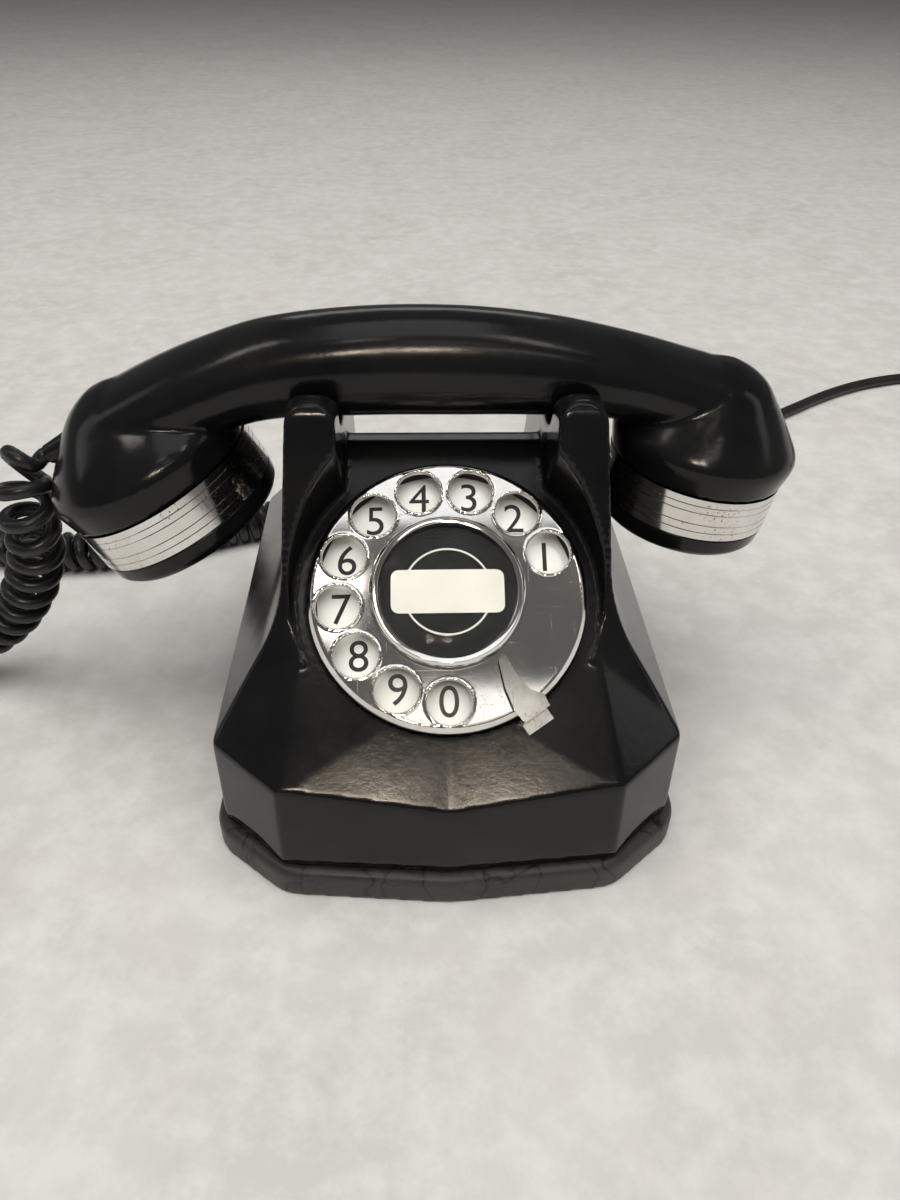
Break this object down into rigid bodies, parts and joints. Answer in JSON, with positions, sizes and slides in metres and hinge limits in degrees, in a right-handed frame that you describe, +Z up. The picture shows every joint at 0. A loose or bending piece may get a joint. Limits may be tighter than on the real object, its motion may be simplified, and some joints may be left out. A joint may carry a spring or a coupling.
{
  "type": "rotary telephone",
  "caption": "Black desk telephone with a sloped rotary dial, a horned cradle, a lift-off handset on a curly cord and a line cord.",
  "frame": {"origin": "on the table under the middle of the case", "axes": "+Z up, -Y towards the dial and the user, +X to the user's right"},
  "size_m": [0.6337, 0.3506, 0.137],
  "materials": {
    "black_shell": "semi-gloss black with fine orange-peel",
    "chrome": "bright, lightly scratched and pitted",
    "cream_enamel": "smooth cream enamel with black digits",
    "black_metal": "satin black",
    "aged_rubber": "matte, dry and cracked",
    "plated_steel": "dull zinc plating",
    "brass": "aged satin brass",
    "black_card": "matte card with a plain cream centre",
    "clear_window": "clear, slightly domed",
    "copper_winding": "varnished winding",
    "can": "satin",
    "brown_insulator": "moulded brown insulator",
    "capsule_face": "satin pressed capsule",
    "cord_gloss": "glossy black jacket",
    "cord_satin": "satin black jacket"
  },
  "bodies": {
    "base": {"housing": "black_shell", "base_plate": "plated_steel", "base_rim": "aged_rubber", "base_screws": "plated_steel", "dial_case": "plated_steel", "number_plate": "cream_enamel", "number_ring": "black_metal", "return_spring": "plated_steel", "pinion_bridge": "brass", "governor_stand": "brass", "pulse_contacts": "brass", "finger_stop": "chrome", "lever_pin": "plated_steel", "switch_bracket": "plated_steel", "hook_contacts": "brass", "gong_left": "brass", "gong_right": "brass", "ringer_frame": "plated_steel", "gong_screws": "plated_steel", "ringer_coils": "copper_winding", "condenser": "can", "induction_coil": "copper_winding", "terminal_strip": "brown_insulator", "terminal_screws": "brass", "line_cord_relief": "cord_satin", "handset_cord_relief": "cord_satin", "handset_cord": "cord_gloss", "base_cord_tail": "cord_gloss", "line_cord": "cord_satin", "line_cord_coil": "cord_satin", "line_plug": "black_shell", "line_plug_pins": "brass", "plug_lead": "cord_satin"},
    "wheel": {"finger_wheel": "chrome", "hub_ring": "chrome", "dial_card": "black_card", "card_window": "clear_window", "main_shaft": "plated_steel", "main_gear": "brass"},
    "pinion": {"impulse_pinion": "brass"},
    "governor": {"governor_worm": "plated_steel", "governor_weights": "brass"},
    "plunger_left": {"plunger_left": "black_metal"},
    "plunger_right": {"plunger_right": "black_metal"},
    "lever": {"hook_lever": "plated_steel"},
    "clapper": {"armature": "plated_steel", "clapper": "brass"},
    "handset": {"handset_cord_tail": "cord_gloss", "handset_handle": "black_shell", "transmitter_cap": "black_shell", "transmitter_band": "chrome", "transmitter_capsule": "capsule_face", "receiver_cap": "black_shell", "receiver_band": "chrome", "receiver_capsule": "capsule_face", "handset_boot": "black_shell"}
  },
  "joints": [
    {"name": "dial_turn", "type": "hinge", "parent": "base", "child": "wheel", "pos_m": [0, -0.0401, 0.07105], "axis": [0, -0.6018, 0.7986], "range_deg": [-327, 0], "stiffness_Nm_per_rad": 0.006, "springref_deg": 171.89},
    {"name": "pinion_spin", "type": "hinge", "parent": "base", "child": "pinion", "pos_m": [0.0256, -0.0401, 0.07105], "axis": [0, -0.6018, 0.7986], "range_deg": [0, 1962]},
    {"name": "governor_spin", "type": "hinge", "parent": "base", "child": "governor", "pos_m": [-0.0263, -0.03216, 0.0605], "axis": [0, 0.7986, 0.6018], "range_deg": [-7848, 0]},
    {"name": "handset_lift", "type": "slide", "parent": "base", "child": "handset", "axis": [0, 0, 1], "range_m": [0, 0.06]},
    {"name": "plunger_left_rise", "type": "slide", "parent": "base", "child": "plunger_left", "axis": [0, 0, 1], "range_m": [0, 0.0045]},
    {"name": "plunger_right_rise", "type": "slide", "parent": "base", "child": "plunger_right", "axis": [0, 0, 1], "range_m": [0, 0.0045]},
    {"name": "lever_tip", "type": "hinge", "parent": "base", "child": "lever", "pos_m": [0, 0.014, 0.079], "axis": [1, 0, 0], "range_deg": [-17.6, 0]},
    {"name": "clapper_swing", "type": "hinge", "parent": "base", "child": "clapper", "pos_m": [0, 0.024, 0], "axis": [0, 0, 1], "range_deg": [-3.2, 3.2]}
  ],
  "couplings": [
    {"joint": "pinion_spin", "follows": "dial_turn", "ratio": -6},
    {"joint": "governor_spin", "follows": "dial_turn", "ratio": 24},
    {"joint": "plunger_left_rise", "follows": "handset_lift", "ratio": 0.075},
    {"joint": "plunger_right_rise", "follows": "handset_lift", "ratio": 0.075},
    {"joint": "lever_tip", "follows": "handset_lift", "rad_per_m": -5.1}
  ]
}
